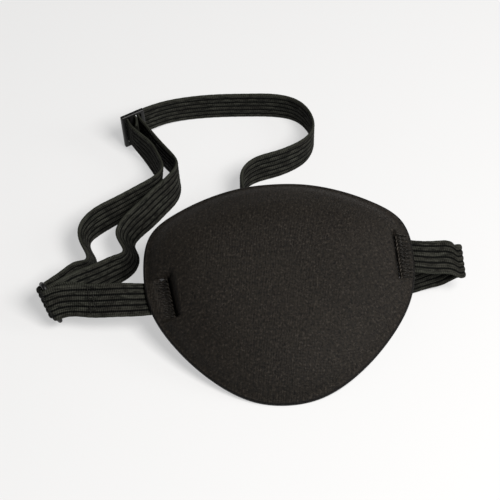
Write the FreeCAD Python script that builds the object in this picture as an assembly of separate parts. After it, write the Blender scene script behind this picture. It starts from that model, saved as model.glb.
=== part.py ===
import FreeCAD, Part
import math
import os

# Eye patch with an adjustable elastic head strap, lying on a table. Millimetres, +Z up.
# The finished model is moved so that its origin is the bottom centre of its bounding box.

# --- Driving dimensions -------------------------------------------------------------------
PATCH_WIDTH = 80.0          # widest part of the patch, side to side
PATCH_HEIGHT = 68.5         # bottom tip to top edge
DOME_HEIGHT = 13.0          # crown of the cup above its rim plane
COVER = 0.7                 # outer knit cover
FOAM = 2.0                  # moulded foam between the fabrics
LINING = 0.6                # eye-side lining
RIM_HEIGHT = 1.2            # hot-pressed edge
RIM_LAND = 2.4              # width of the pressed edge, rim to cavity
FLANGE = 2.2                # laminate thickness where a strap is sewn on
TILT_DEG = 20.0             # the patch leans back from the table
ROLL_DEG = 3.5              # and is turned a little in its own plane

STRAP_WIDTH = 10.0          # ribbed elastic
STRAP_THICK = 1.0
STRAP_GAP = 0.15            # strap end to the back of the flange

WIRE_R = 0.7                # ring wire and slider bars
TURN_GAP = 0.15             # bar surface to the strap bent round it
EDGE_GAP = 0.3              # strap edge to the end of a slider slot
RING_EDGE_GAP = 0.25        # strap edge to the end of the ring
TWO_LAYERS = 2 * (WIRE_R + TURN_GAP + STRAP_THICK)      # two bars' halves, and both their turns
RING_SPACING = TWO_LAYERS + 0.5     # between the ring's two long bars
RING_CORNER_R = 1.2
LOOP_R = 2.2                # slack turn of the long strap in the ring
SLIDER_PITCH = TWO_LAYERS + 0.2     # the slider's middle bar to its outer bar
SLIDER_BACK_PITCH = 2 * (WIRE_R + TURN_GAP) + STRAP_THICK   # and to its back bar: one layer
SLIDER_END = 1.0            # slider's end rails, measured along its bars
SLIDER_FILLET = 0.45

THREAD_R = 0.22
TACK_PITCH = 1.1            # zigzag stitches of a bar tack
TACK_WIDTH = 3.2
TACK_EDGE = 0.5             # tack's first stitch to the slot line
SEAM_PITCH = 1.3            # running stitches across a folded strap end

TURN_R = WIRE_R + TURN_GAP + STRAP_THICK / 2    # strap's mid line round a bar
TURN_STEPS = 6              # sections round a turn, less one


def vec(x, y, z=0.0):
    return FreeCAD.Vector(x, y, z)


def unit(v):
    return v * (1.0 / v.Length)


# --- Ribbon of elastic through a list of sections -------------------------------------------
# A section is (centre, across, face): its middle, the unit vector from the lower to the upper
# edge of the strap, and the unit normal of its face.

def corners(section):
    centre, across, face = section
    a = across * (STRAP_WIDTH / 2)
    f = face * (STRAP_THICK / 2)
    return [centre - a - f, centre - a + f, centre + a + f, centre + a - f]


def ribbon(sections):
    stops = [0.0]
    for before, after in zip(sections, sections[1:]):
        stops.append(stops[-1] + (after[0] - before[0]).Length)
    rails = []
    for k in range(4):
        rail = Part.BSplineCurve()
        rail.interpolate(Points=[corners(s)[k] for s in sections], Parameters=stops)
        rails.append(rail.toShape())
    faces = [Part.makeRuledSurface(rails[k], rails[(k + 1) % 4]) for k in range(4)]
    for end in (sections[0], sections[-1]):
        loop = corners(end)
        faces.append(Part.Face(Part.makePolygon(loop + loop[:1])))
    shell = Part.Shell(faces)
    shell.sewShape()
    solid = Part.Solid(shell)
    if solid.Volume < 0:
        solid.reverse()
    return solid


def folded_ribbon(sections, start):
    """A ribbon with one tight turn from section start on, joined from three stretches."""
    end = start + TURN_STEPS
    stretches = [sections[:start + 1], sections[start:end + 1], sections[end:]]
    legs = [ribbon(s) for s in stretches]
    return legs[0].fuse(legs[1:])


def free_sections(stations, before=None, after=None):
    """Sections of a free run. A station is where the lower edge stands (x, y, z) and how far
    the upper edge overhangs it (dx, dy). before and after are the neighbouring sections."""
    middles = []
    for x, y, z, dx, dy in stations:
        lean = math.hypot(dx, dy) / STRAP_WIDTH
        across = vec(dx / STRAP_WIDTH, dy / STRAP_WIDTH, math.sqrt(1 - lean ** 2))
        lowest = vec(x, y, z + lean * STRAP_THICK / 2)
        middles.append((lowest + across * (STRAP_WIDTH / 2), across))
    line = [m[0] for m in middles]
    line = ([before[0]] if before else [line[0]]) + line + ([after[0]] if after else [line[-1]])
    sections = []
    for i, (centre, across) in enumerate(middles):
        ahead = unit(line[i + 2] - line[i])
        sections.append((centre, across, unit(ahead.cross(across))))
    return sections


def turn_sections(centre, across, start, sweep, radius, steps):
    """Sections of a turn about a bar: start is the unit vector from the bar to the first
    section, and sweep the signed angle in degrees about the across direction."""
    sections = []
    for i in range(steps + 1):
        spin = FreeCAD.Rotation(across, sweep * i / steps)
        out = spin.multVec(start)
        face = out if sweep > 0 else out * -1
        sections.append((centre + out * radius, across, face))
    return sections


def stitch_row(section, side, reach=0.8):
    """Running stitches across the strap, lying on one face of it."""
    centre, across, face = section
    lift = face * side * (STRAP_THICK / 2 + THREAD_R + 0.02)
    count = int(STRAP_WIDTH * reach / SEAM_PITCH)
    stitches = []
    for i in range(count):
        foot = centre + lift + across * ((i - count / 2) * SEAM_PITCH + 0.2)
        stitches.append(Part.makeCylinder(THREAD_R, SEAM_PITCH - 0.4, foot, across))
    return stitches


# --- Patch ----------------------------------------------------------------------------------
def patch_frame():
    tilt = math.radians(TILT_DEG)
    up = vec(0, math.cos(tilt), math.sin(tilt))
    out = vec(0, -math.sin(tilt), math.cos(tilt))
    spin = FreeCAD.Rotation(out, ROLL_DEG)
    return vec(11.1, -58.5, 0.0), spin.multVec(vec(1, 0, 0)), spin.multVec(up), out


PATCH_ORIGIN, PATCH_X, PATCH_Y, PATCH_Z = patch_frame()
PATCH_CENTRE_Y = 0.54 * PATCH_HEIGHT


def on_patch(x, y, z=0.0):
    return PATCH_ORIGIN + PATCH_X * x + PATCH_Y * y + PATCH_Z * z


# One half of the outline, as shares of the half width and of the height.
HALF_OUTLINE = [(0.0, 0.0), (0.235, 0.021), (0.53, 0.121), (0.80, 0.285), (0.965, 0.46), (1.0, 0.64),
                (0.93, 0.80), (0.74, 0.888), (0.48, 0.955), (0.22, 0.992), (0.0, 1.0)]


def outline(scale, z):
    """The patch outline shrunk about its centre, at a height above the rim plane."""
    half = [(x * PATCH_WIDTH / 2 * scale, PATCH_CENTRE_Y + (y * PATCH_HEIGHT - PATCH_CENTRE_Y) * scale)
            for x, y in HALF_OUTLINE]
    loop = half + [(-x, y) for x, y in reversed(half[1:-1])]
    curve = Part.BSplineCurve()
    curve.interpolate(Points=[on_patch(x, y, z) for x, y in loop], PeriodicFlag=True)
    return Part.Wire(curve.toShape())


# A tab: its slot line's middle and length, the way out from the slot line and the way the
# strap leaves (degrees), and how far the strap sits above the slot's middle.
LEFT_TAB = {"x": 8.2 - PATCH_WIDTH / 2, "y": 33.9, "length": STRAP_WIDTH + 3.0,
            "turn": 189.0, "strap": 184.0, "rise": 1.6}
RIGHT_TAB = {"x": PATCH_WIDTH / 2 - 5.1, "y": 42.8, "length": STRAP_WIDTH + 4.5,
             "turn": 3.0, "strap": -8.0, "rise": 1.5}


def tab_ways(tab, way="turn"):
    turn = math.radians(tab[way])
    way_out = PATCH_X * math.cos(turn) + PATCH_Y * math.sin(turn)
    along = PATCH_X * -math.sin(turn) + PATCH_Y * math.cos(turn)
    if along.dot(PATCH_Y) < 0:
        along = along * -1
    return on_patch(tab["x"], tab["y"]), way_out, along


def tab_pocket(tab, grow, floor):
    """The space over a tab where the laminate is pressed down to its flange."""
    middle, way_out, along = tab_ways(tab)
    reach = 14.0
    half = tab["length"] / 2 + grow
    start = middle - way_out * grow - along * half + PATCH_Z * floor
    loop = [start, start + way_out * reach, start + way_out * reach + along * 2 * half,
            start + along * 2 * half]
    return Part.Face(Part.makePolygon(loop + loop[:1])).extrude(PATCH_Z * (DOME_HEIGHT + 5))


def moulding(inset, flange, rim_inset):
    """The patch as one block, from its rim plane up to a surface inset from the outside."""
    half = PATCH_WIDTH / 2
    rim = 1 - rim_inset / half
    rim_top = max(RIM_HEIGHT - inset, 0.25)
    crown = DOME_HEIGHT - inset
    land = 0.975 * rim
    rise = crown - rim_top
    levels = [(land, 0.0), (0.92 * rim, 0.20), (0.83 * rim, 0.43), (0.71 * rim, 0.66),
              (0.55 * rim, 0.85), (0.37 * rim, 0.96), (0.18 * rim, 1.0)]
    base = Part.Face(outline(rim, 0.0)).extrude(PATCH_Z * rim_top)
    dome = Part.makeLoft([outline(s, rim_top + share * rise) for s, share in levels], True, False)
    block = base.fuse(dome)
    for tab in (LEFT_TAB, RIGHT_TAB):
        floor = flange if flange > 0 else -1.0
        block = block.cut(tab_pocket(tab, inset, floor))
    return block


def patch_layers():
    outside = moulding(0.0, FLANGE, 0.0)
    under_cover = moulding(COVER, FLANGE - 0.6, 0.5)
    under_foam = moulding(COVER + FOAM, 0.5, 1.2)
    cavity = moulding(COVER + FOAM + LINING, 0.0, RIM_LAND)
    return {
        "outer_cover": outside.cut(under_cover),
        "foam_core": under_cover.cut(under_foam),
        "eye_side_lining": under_foam.cut(cavity),
    }


def bar_tack(tab):
    """Zigzag stitching that holds a strap end to the flange."""
    middle, way_out, along = tab_ways(tab)
    lift = PATCH_Z * (FLANGE + THREAD_R + 0.02)
    count = int((tab["length"] - 1.5) / TACK_PITCH)
    stitches = []
    for i in range(count):
        low = (i - count / 2) * TACK_PITCH
        near = middle + lift + way_out * TACK_EDGE + along * low
        far = middle + lift + way_out * (TACK_EDGE + TACK_WIDTH) + along * (low + TACK_PITCH / 2)
        stitches.append(Part.makeCylinder(THREAD_R, (far - near).Length, near, far - near))
    return Part.makeCompound(stitches)


def tab_sections(tab, places):
    """Sections of a strap end lying flat behind the flange, at places along its way out."""
    middle, way_out, along = tab_ways(tab, "strap")
    sunk = PATCH_Z * -(STRAP_GAP + STRAP_THICK / 2) + along * tab["rise"]
    return [(middle + way_out * p + sunk, along, unit(way_out.cross(along))) for p in places]


LAYOUT_WIDTH = 80.0         # the patch width that the strap's places are given for


def place(x, y, z):
    """A place of the strap's layout, moved sideways with the sides of the patch."""
    middle = PATCH_ORIGIN.x
    return vec(middle + (x - middle) * PATCH_WIDTH / LAYOUT_WIDTH, y, z)


# --- Ring at the left tip -------------------------------------------------------------------
RING_ACROSS = unit(vec(-0.40, 0.50, 0.766))        # along the ring's long bars
RING_PULL = unit(vec(0.865, 0.474, 0.1423))        # the way both straps leave
RING_FACE = unit(RING_PULL.cross(RING_ACROSS))
FRONT_BAR = place(-58.2, -28.1, 8.9)               # bar in the short strap
REAR_BAR = FRONT_BAR - RING_FACE * RING_SPACING    # bar in the long strap
LOOP_CENTRE = REAR_BAR + unit(RING_PULL - RING_FACE) * (LOOP_R - TURN_R)
RING_LENGTH = STRAP_WIDTH + 2 * RING_EDGE_GAP + 2 * WIRE_R


def ring():
    half = RING_LENGTH / 2
    a, f = RING_ACROSS, RING_FACE
    r = RING_CORNER_R
    middle = (FRONT_BAR + REAR_BAR) * 0.5
    sides = [f, a, f * -1, a * -1]
    reach = [RING_SPACING / 2, half, RING_SPACING / 2, half]
    edges = []
    for k in range(4):
        out, ahead = sides[k], sides[(k + 1) % 4]
        run = reach[(k + 1) % 4]
        foot = middle + out * reach[k]
        edges.append(Part.LineSegment(foot - ahead * (run - r), foot + ahead * (run - r)).toShape())
        pivot = middle + out * (reach[k] - r) + ahead * (run - r)
        knee = pivot + unit(out + ahead) * r
        edges.append(Part.Arc(pivot + out * r, knee, pivot + ahead * r).toShape())
    path = Part.Wire(edges)
    start = edges[0].Vertexes[0].Point
    circle = Part.Wire(Part.makeCircle(WIRE_R, start, a))
    return path.makePipeShell([circle], True, False)


# --- Slider ---------------------------------------------------------------------------------
SLIDER_ACROSS = unit(vec(-1.0, 0.8, 13.8))         # along the bars
SLIDER_LINE = unit(vec(0.87, 0.49, 0.0346))        # from bar to bar
SLIDER_FACE = unit(SLIDER_LINE.cross(SLIDER_ACROSS))
MID_BAR = place(-37.5, 44.9, 6.9)                  # carries the strap's sewn end
OUTER_BAR = MID_BAR + SLIDER_LINE * SLIDER_PITCH   # the strap runs round this one


def slider():
    bar = 2 * WIRE_R
    slot_height = STRAP_WIDTH + 2 * EDGE_GAP
    height = slot_height + 2 * SLIDER_END
    back = -SLIDER_BACK_PITCH - WIRE_R
    length = SLIDER_BACK_PITCH + SLIDER_PITCH + bar
    frame = Part.makeBox(length, bar, height, vec(back, -WIRE_R, -height / 2))
    for slot_start, pitch in ((back + bar, SLIDER_BACK_PITCH), (WIRE_R, SLIDER_PITCH)):
        slot = Part.makeBox(pitch - bar, 2 * bar, slot_height, vec(slot_start, -bar, -slot_height / 2))
        frame = frame.cut(slot)
    upright = [e for e in frame.Edges if e.Curve.TypeId == "Part::GeomLine"
               and abs(e.Curve.Direction.z) > 0.99]
    frame = frame.makeFillet(SLIDER_FILLET, upright)
    turn = FreeCAD.Matrix(SLIDER_LINE.x, -SLIDER_FACE.x, SLIDER_ACROSS.x, MID_BAR.x,
                          SLIDER_LINE.y, -SLIDER_FACE.y, SLIDER_ACROSS.y, MID_BAR.y,
                          SLIDER_LINE.z, -SLIDER_FACE.z, SLIDER_ACROSS.z, MID_BAR.z,
                          0, 0, 0, 1)
    frame.Placement = FreeCAD.Placement(turn)
    return frame


# --- Strap routes: lower edge's middle and the overhang of the upper edge ---------------------
def placed(stations):
    return [tuple(place(*s[:3])) + s[3:] for s in stations]


def near(bar, x, y, z, dx, dy):
    """A station kept beside a bar that moves when the bars are spaced wider."""
    return bar.x + x, bar.y + y, z, dx, dy


SHORT_RUN = placed([(-37.6, -32.8, 8.2, 0.0, 8.2), (-46.5, -32.0, 6.8, -1.4, 7.4)])

RIGHT_FRONT = placed([(55.6, -18.5, 10.5, 0.0, 8.3), (60.9, -17.6, 8.7, -0.8, 7.1)])
FOLD_AT = place(62.2, -13.3, 10.6)                 # axis of the fold at the right
FOLD_ACROSS = unit(vec(-1.5, 6.75, 7.25))
FOLD_R = 1.2
FOLD_OUT = unit(vec(0.05, -0.73, 0.68))            # from the axis to the front layer
SEWN_LEAD = 4.6                                    # middle bar to the seam of the sewn end
LAP_GAP = 0.08                                     # between two layers sewn together
UNDER_PATCH = placed([
    (58.4, -15.6, 2.3, 0.0, 5.6), (54.5, -15.8, 1.0, 0.0, 3.2), (49.0, -17.0, 0.0, 0.0, 2.2),
    (42.0, -18.8, 0.0, 0.0, 1.5), (34.0, -19.8, 0.0, 0.3, 1.2), (26.0, -18.6, 0.0, 0.8, 1.2),
    (18.0, -14.2, 0.0, 1.0, 1.0), (10.5, -7.2, 0.0, 1.0, 0.8), (4.0, 1.4, 0.0, 0.8, 0.3),
    (-0.4, 10.5, 0.0, 0.4, 0.0)])
FAR_TURN = placed([
    (-2.4, 18.2, 0.0, 0.0, 0.0), (-2.2, 23.8, 0.0, 0.0, 0.8), (1.6, 27.6, 0.0, 0.0, 1.8),
    (7.6, 30.0, 0.0, 0.0, 2.1), (13.4, 33.0, 0.0, 0.0, 2.0), (18.0, 37.4, 0.0, 0.0, 1.2),
    (20.0, 43.4, 0.0, 0.0, 0.0), (18.9, 49.6, 0.0, 0.0, 0.0), (14.9, 54.6, 0.0, 0.0, 0.0),
    (8.6, 56.6, 0.0, 0.0, 0.3)])
TOP_RUN = placed([
    (0.0, 56.9, 0.0, 0.0, 0.3), (-10.0, 56.6, 0.0, 0.0, 0.3), (-20.0, 55.3, 0.2, 0.0, 0.2),
    (-27.0, 52.9, 0.8, -0.2, 0.2)])
OUTER_UPPER = [near(OUTER_BAR, 1.2, -4.6, 1.6, -0.4, 0.5)] + placed([
    (-29.4, 37.2, 0.7, 0.0, 0.3), (-25.4, 32.2, 0.1, 0.0, 0.2), (-22.4, 27.0, 0.0, -0.6, 0.5),
    (-22.3, 21.4, 0.0, -2.6, 1.8), (-26.0, 14.6, 0.0, -4.0, 3.0)])
OUTER_LOWER = placed([
    (-30.4, 8.6, 0.0, -4.3, 2.8), (-34.2, 4.0, 0.0, -5.0, 1.0), (-35.4, 1.0, 0.0, -5.3, -1.2),
    (-34.5, -1.8, 0.0, -4.9, -2.3), (-33.9, -4.9, 0.0, -4.3, -2.2), (-35.0, -8.8, 0.0, -3.8, -0.2),
    (-38.4, -12.6, 0.0, -3.0, 2.4), (-43.6, -16.6, 0.2, -2.8, 3.6)])
OUTER_LOWER += [near(REAR_BAR, 10.03, 3.46, 1.6, -3.4, 4.6)]
INNER_LOWER = placed([
    (-55.0, -19.4, 0.1, -2.0, 2.4), (-51.0, -13.6, 0.0, -1.2, 0.6), (-47.6, -9.4, 0.0, -1.6, -2.4),
    (-46.9, -5.6, 0.0, -2.2, -3.6), (-48.4, -1.6, 0.0, -2.8, -2.8), (-49.2, 2.2, 0.0, -2.7, -0.8),
    (-47.4, 5.0, 0.0, -2.0, 1.6), (-41.0, 10.4, 0.0, -1.4, 2.0)])
INNER_UPPER = placed([
    (-33.0, 17.4, 0.0, -0.6, 1.2), (-29.4, 21.4, 0.0, 0.0, 0.6), (-28.2, 25.6, 0.0, 0.8, 0.0),
    (-29.8, 30.2, 0.1, 1.1, 0.5), (-32.8, 35.4, 0.6, 1.2, 0.6)])


TAB_LEAD = 5                # sections from a tab to its strap's tight turn
SEWN_END_LEAD = 1           # and from the seam to the slider's middle bar


def loop_sections():
    """Slack turn of the long strap in the ring, from its outer run to its inner run."""
    return turn_sections(LOOP_CENTRE, RING_ACROSS, RING_FACE, -155, LOOP_R, TURN_STEPS)


def outer_bar_sections():
    """The long strap round the slider's outer bar, from the top run to the outer run."""
    start = unit(SLIDER_FACE * -0.99 + SLIDER_LINE * 0.11)
    return turn_sections(OUTER_BAR, SLIDER_ACROSS, start, 90, TURN_R, 4)


def mid_bar_sections():
    """The long strap's end round the slider's middle bar, and down to its seam."""
    away = unit(SLIDER_FACE - SLIDER_LINE * 0.05)
    side = unit(away.cross(SLIDER_ACROSS))
    turn = turn_sections(MID_BAR, SLIDER_ACROSS, side, -180, TURN_R, TURN_STEPS)
    lead = (turn[0][0] + away * SEWN_LEAD, turn[0][1], turn[0][2])
    end = (lead[0] - side * (STRAP_THICK + LAP_GAP), SLIDER_ACROSS, turn[-1][2])
    return [lead] + turn + [end]


def short_strap_sections():
    """From under the left tab, round the ring's front bar, to the end sewn back on the strap."""
    lying = tab_sections(LEFT_TAB, (0.6, 3.5, 7.0))
    turn = turn_sections(FRONT_BAR, RING_ACROSS, RING_FACE, -180, TURN_R, TURN_STEPS)
    run = free_sections(SHORT_RUN, lying[-1], turn[0])
    middle, across, face = run[-1]
    lapped = (middle + face * (STRAP_THICK + LAP_GAP), across, face * -1)
    ease = (turn[-1][0] + RING_PULL * 2.5, turn[-1][1], turn[-1][2])
    return lying + run + turn + [ease, lapped]


def long_strap_sections():
    """The long strap, cut into the stretches that stay simple shapes."""
    lying = tab_sections(RIGHT_TAB, (0.6, 3.5, 7.0))
    fold = turn_sections(FOLD_AT, FOLD_ACROSS, FOLD_OUT, 180, FOLD_R, TURN_STEPS)
    bend = outer_bar_sections()
    loop = loop_sections()
    sewn = mid_bar_sections()
    front = free_sections(RIGHT_FRONT, lying[-1], fold[0])
    under = free_sections(UNDER_PATCH, fold[-1], None)
    far = free_sections(FAR_TURN, under[-1], None)
    under[-1] = free_sections(UNDER_PATCH[-1:], under[-2], far[0])[0]
    top = free_sections(TOP_RUN, far[-1], bend[0])
    far[-1] = free_sections(FAR_TURN[-1:], far[-2], top[0])[0]
    outer_low = free_sections(OUTER_LOWER, None, loop[0])
    outer_up = free_sections(OUTER_UPPER, bend[-1], outer_low[0])
    outer_low[0] = free_sections(OUTER_LOWER[:1], outer_up[-1], outer_low[1])[0]
    inner_up = free_sections(INNER_UPPER, None, sewn[0])
    inner_low = free_sections(INNER_LOWER, loop[-1], inner_up[0])
    inner_up[0] = free_sections(INNER_UPPER[:1], inner_low[-1], inner_up[1])[0]
    return {
        "long_strap_tab_end": lying + front + fold + under[:1],
        "long_strap_under_patch": under,
        "long_strap_far_turn": [under[-1]] + far,
        "long_strap_top_run": [far[-1]] + top + bend[:1],
        "long_strap_slider_bend": bend,
        "long_strap_outer_upper": [bend[-1]] + outer_up,
        "long_strap_outer_lower": [outer_up[-1]] + outer_low + loop[:1],
        "long_strap_ring_turn": loop,
        "long_strap_inner_lower": [loop[-1]] + inner_low,
        "long_strap_inner_upper": [inner_low[-1]] + inner_up + sewn[:1],
        "long_strap_sewn_end": sewn,
    }


def seam_sections():
    """Where the two folded strap ends are stitched down."""
    short = short_strap_sections()
    sewn = long_strap_sections()["long_strap_sewn_end"]
    middle, across, face = sewn[0]
    return short[4], (middle + (sewn[1][0] - middle) * 0.2, across, face)


def build():
    nodes = patch_layers()
    nodes["left_tab_stitching"] = bar_tack(LEFT_TAB)
    nodes["right_tab_stitching"] = bar_tack(RIGHT_TAB)
    nodes["short_strap"] = folded_ribbon(short_strap_sections(), TAB_LEAD)
    nodes["ring"] = ring()
    nodes["slider"] = slider()
    for name, sections in long_strap_sections().items():
        start = {"long_strap_tab_end": TAB_LEAD, "long_strap_sewn_end": SEWN_END_LEAD}.get(name)
        nodes[name] = folded_ribbon(sections, start) if start else ribbon(sections)
    short_seam, end_seam = seam_sections()
    nodes["short_strap_stitching"] = Part.makeCompound(stitch_row(short_seam, -1))
    nodes["sewn_end_stitching"] = Part.makeCompound(stitch_row(end_seam, -1))
    return nodes


def main():
    nodes = build()
    box = Part.makeCompound(list(nodes.values())).optimalBoundingBox()
    centre = vec(-box.Center.x, -box.Center.y, -box.ZMin)
    print("moved by", [round(v, 3) for v in centre])
    print("size", [round(v, 2) for v in (box.XLength, box.YLength, box.ZLength)])
    os.makedirs("parts", exist_ok=True)
    for name, shape in nodes.items():
        shape.translate(centre)
        shape.exportStep("parts/" + name + ".step")


if __name__ == "__main__":
    main()
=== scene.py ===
import math

import bmesh
import bpy
import numpy as np
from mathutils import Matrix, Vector


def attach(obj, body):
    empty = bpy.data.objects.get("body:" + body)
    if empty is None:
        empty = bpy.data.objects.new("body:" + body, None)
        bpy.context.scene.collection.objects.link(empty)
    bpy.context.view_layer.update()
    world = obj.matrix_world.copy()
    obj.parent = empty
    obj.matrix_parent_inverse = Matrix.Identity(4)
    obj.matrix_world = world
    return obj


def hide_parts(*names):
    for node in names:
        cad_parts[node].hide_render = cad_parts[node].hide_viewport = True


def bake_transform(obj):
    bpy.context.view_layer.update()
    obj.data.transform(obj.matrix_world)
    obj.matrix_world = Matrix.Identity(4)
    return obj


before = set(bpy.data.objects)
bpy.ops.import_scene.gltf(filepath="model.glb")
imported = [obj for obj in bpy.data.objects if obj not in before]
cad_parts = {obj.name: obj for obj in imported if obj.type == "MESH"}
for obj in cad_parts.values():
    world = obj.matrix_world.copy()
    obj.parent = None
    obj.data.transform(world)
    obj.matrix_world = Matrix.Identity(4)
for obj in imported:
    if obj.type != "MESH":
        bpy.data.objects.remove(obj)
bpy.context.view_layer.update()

# Lengths are in millimetres, in the frame that the strap's route was laid out in, and become
# metres in the model's own frame when a mesh is made.
MM = 0.001
MOVED = np.array([-0.534, 0.612, 0.094])        # from the layout's origin to the model's

# --- Sizes ----------------------------------------------------------------------------------
PATCH_WIDTH = 80.0
PATCH_HEIGHT = 68.5
DOME_HEIGHT = 13.0
LAMINATE = 3.3              # cover, foam and lining together
COVER_SHARE = 0.21          # of the laminate's thickness
LINING_SHARE = 0.18
RIM_HEIGHT = 1.2
RIM_ROUND = 0.55            # rounding of the pressed edge
FLANGE = 2.0                # laminate under a bar tack
SLOT_AT = 0.15              # the pressed line on the inner side of a tack
SLOT_WIDTH = 0.42
SLOT_DEPTH = 0.8
TAB_WALL = 1.8              # slope of the wall behind the slot
PUFF = 0.14                 # swelling of the cloth between stitches
RIB_PRINT = 0.06            # the strap's ribs, pressed through the cloth
CAVITY_LEAST = 1.2          # lining's height where the cavity ends and the rim's land starts
RIM_SWELL = 0.45            # extra laminate towards the rim
TILT_DEG = 20.0
ROLL_DEG = 3.5

STRAP_WIDTH = 10.0
STRAP_THICK = 1.0
STRAP_GAP = 0.15
RIBS = 6
RIB_DEPTH = 0.50            # share of the half thickness
SELVEDGE = 0.5              # rounded edge of the elastic
STRAP_STEP = 0.35           # between its cross-sections

WIRE_R = 0.7
TURN_GAP = 0.15
EDGE_GAP = 0.3
RING_EDGE_GAP = 0.25
TWO_LAYERS = 2 * (WIRE_R + TURN_GAP + STRAP_THICK)      # between bars that each carry a turn
RING_SPACING = TWO_LAYERS + 0.5
RING_CORNER_R = 1.2
LOOP_R = 2.2
SLIDER_PITCH = TWO_LAYERS + 0.2                         # the middle bar to the outer bar
SLIDER_BACK_PITCH = 2 * (WIRE_R + TURN_GAP) + STRAP_THICK    # and to the back bar
SLIDER_END = 1.0
SLIDER_EDGE = 0.4           # rounding of the slider's edges
TURN_R = WIRE_R + TURN_GAP + STRAP_THICK / 2
TURN_STEPS = 6

THREAD_R = 0.2
TACK_PITCH = 1.15
SEAM_PITCH = 1.3
SEAM_ROWS = (0.0, 1.4)
SEAM_STITCHES = 6
TAB_LEAD = (0.6, 3.5, 7.0)  # places of a strap's sections behind its tab


# --- Vectors --------------------------------------------------------------------------------
def vec(x, y, z=0.0):
    return np.array([x, y, z], float)


def unit(v):
    v = np.asarray(v, float)
    return v / np.linalg.norm(v)


def turned(v, axis, degrees):
    a = math.radians(degrees)
    return v * math.cos(a) + np.cross(axis, v) * math.sin(a) + axis * axis.dot(v) * (1 - math.cos(a))


def smooth(low, high, x):
    """0 below low, 1 above high, and a smooth rise between them."""
    t = np.clip((np.asarray(x, float) - low) / (high - low), 0, 1)
    return t * t * (3 - 2 * t)


def through(points, stops, at):
    """A natural cubic spline through points, given at stops, read at other places."""
    points = np.asarray(points, float)
    stops = np.asarray(stops, float)
    n = len(points)
    gaps = np.diff(stops)
    slopes = np.diff(points, axis=0) / gaps[:, None]
    system = np.eye(n)
    right = np.zeros_like(points)
    for i in range(1, n - 1):
        system[i, i - 1:i + 2] = gaps[i - 1], 2 * (gaps[i - 1] + gaps[i]), gaps[i]
        right[i] = 6 * (slopes[i] - slopes[i - 1])
    bend = np.linalg.solve(system, right)
    k = np.clip(np.searchsorted(stops, at, side="right") - 1, 0, n - 2)
    h = gaps[k][:, None]
    a = (stops[k + 1] - at)[:, None] / h
    b = 1 - a
    return (a * points[k] + b * points[k + 1]
            + ((a ** 3 - a) * bend[k] + (b ** 3 - b) * bend[k + 1]) * h ** 2 / 6)


# --- Materials ------------------------------------------------------------------------------
class Value:
    """A socket that takes part in arithmetic: each sum adds a Math node."""

    def __init__(self, tree, socket):
        self.tree = tree
        self.socket = socket

    def maths(self, operation, *values):
        node = self.tree.nodes.new("ShaderNodeMath")
        node.operation = operation
        for place, value in zip(node.inputs, values):
            feed(self.tree, place, value)
        return Value(self.tree, node.outputs[0])

    def __add__(self, other):
        return self.maths("ADD", self, other)

    def __sub__(self, other):
        return self.maths("SUBTRACT", self, other)

    def __rsub__(self, other):
        return self.maths("SUBTRACT", other, self)

    def __mul__(self, other):
        return self.maths("MULTIPLY", self, other)

    def __pow__(self, other):
        return self.maths("POWER", self, other)

    def __abs__(self):
        return self.maths("ABSOLUTE", self)

    __radd__ = __add__
    __rmul__ = __mul__

    def sine(self):
        return self.maths("SINE", self)

    def ramp(self, low, high):
        """0 below low, 1 above high."""
        node = self.tree.nodes.new("ShaderNodeMapRange")
        node.interpolation_type = "SMOOTHSTEP"
        for place, value in zip(node.inputs, (self, low, high)):
            feed(self.tree, place, value)
        return Value(self.tree, node.outputs[0])


def feed(tree, place, value):
    if isinstance(value, Value):
        tree.links.new(value.socket, place)
    else:
        place.default_value = value


class Finish:
    """A material: constants go on its surface shader, and the rest is worked out by nodes."""

    def __init__(self, name, **surface):
        self.material = bpy.data.materials.new(name)
        self.material.use_nodes = True
        self.tree = self.material.node_tree
        self.surface = self.tree.nodes["Principled BSDF"]
        self.set(**surface)

    def set(self, **surface):
        for words, value in surface.items():
            feed(self.tree, self.surface.inputs[words.replace("_", " ")], value)

    def node(self, kind, settings=None, output=0, **values):
        node = self.tree.nodes.new(kind)
        for key, value in (settings or {}).items():
            setattr(node, key, value)
        for words, value in values.items():
            feed(self.tree, node.inputs[words.replace("_", " ")], value)
        return Value(self.tree, node.outputs[output])

    def place(self, name):
        """A vector that the mesh carries on its points."""
        return self.node("ShaderNodeAttribute", {"attribute_name": name}, output="Vector")

    def split(self, vector):
        node = self.tree.nodes.new("ShaderNodeSeparateXYZ")
        feed(self.tree, node.inputs[0], vector)
        return [Value(self.tree, out) for out in node.outputs]

    def join(self, x, y, z):
        return self.node("ShaderNodeCombineXYZ", X=x, Y=y, Z=z)

    def noise(self, vector, scale, detail=2.0, roughness=0.5):
        return self.node("ShaderNodeTexNoise", Vector=vector, Scale=scale, Detail=detail, Roughness=roughness)

    def mix(self, share, low, high):
        """Between two colours."""
        node = self.tree.nodes.new("ShaderNodeMix")
        node.data_type = "RGBA"
        for key, value in ((0, share), (6, low), (7, high)):
            feed(self.tree, node.inputs[key], value)
        return Value(self.tree, node.outputs[2])

    def relief(self, height, depth_mm):
        """Bumps of a depth in millimetres."""
        bump = self.node("ShaderNodeBump", Height=height, Strength=1.0, Distance=depth_mm * MM)
        self.set(Normal=bump)


def colour(r, g, b):
    return (r, g, b, 1.0)


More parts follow.
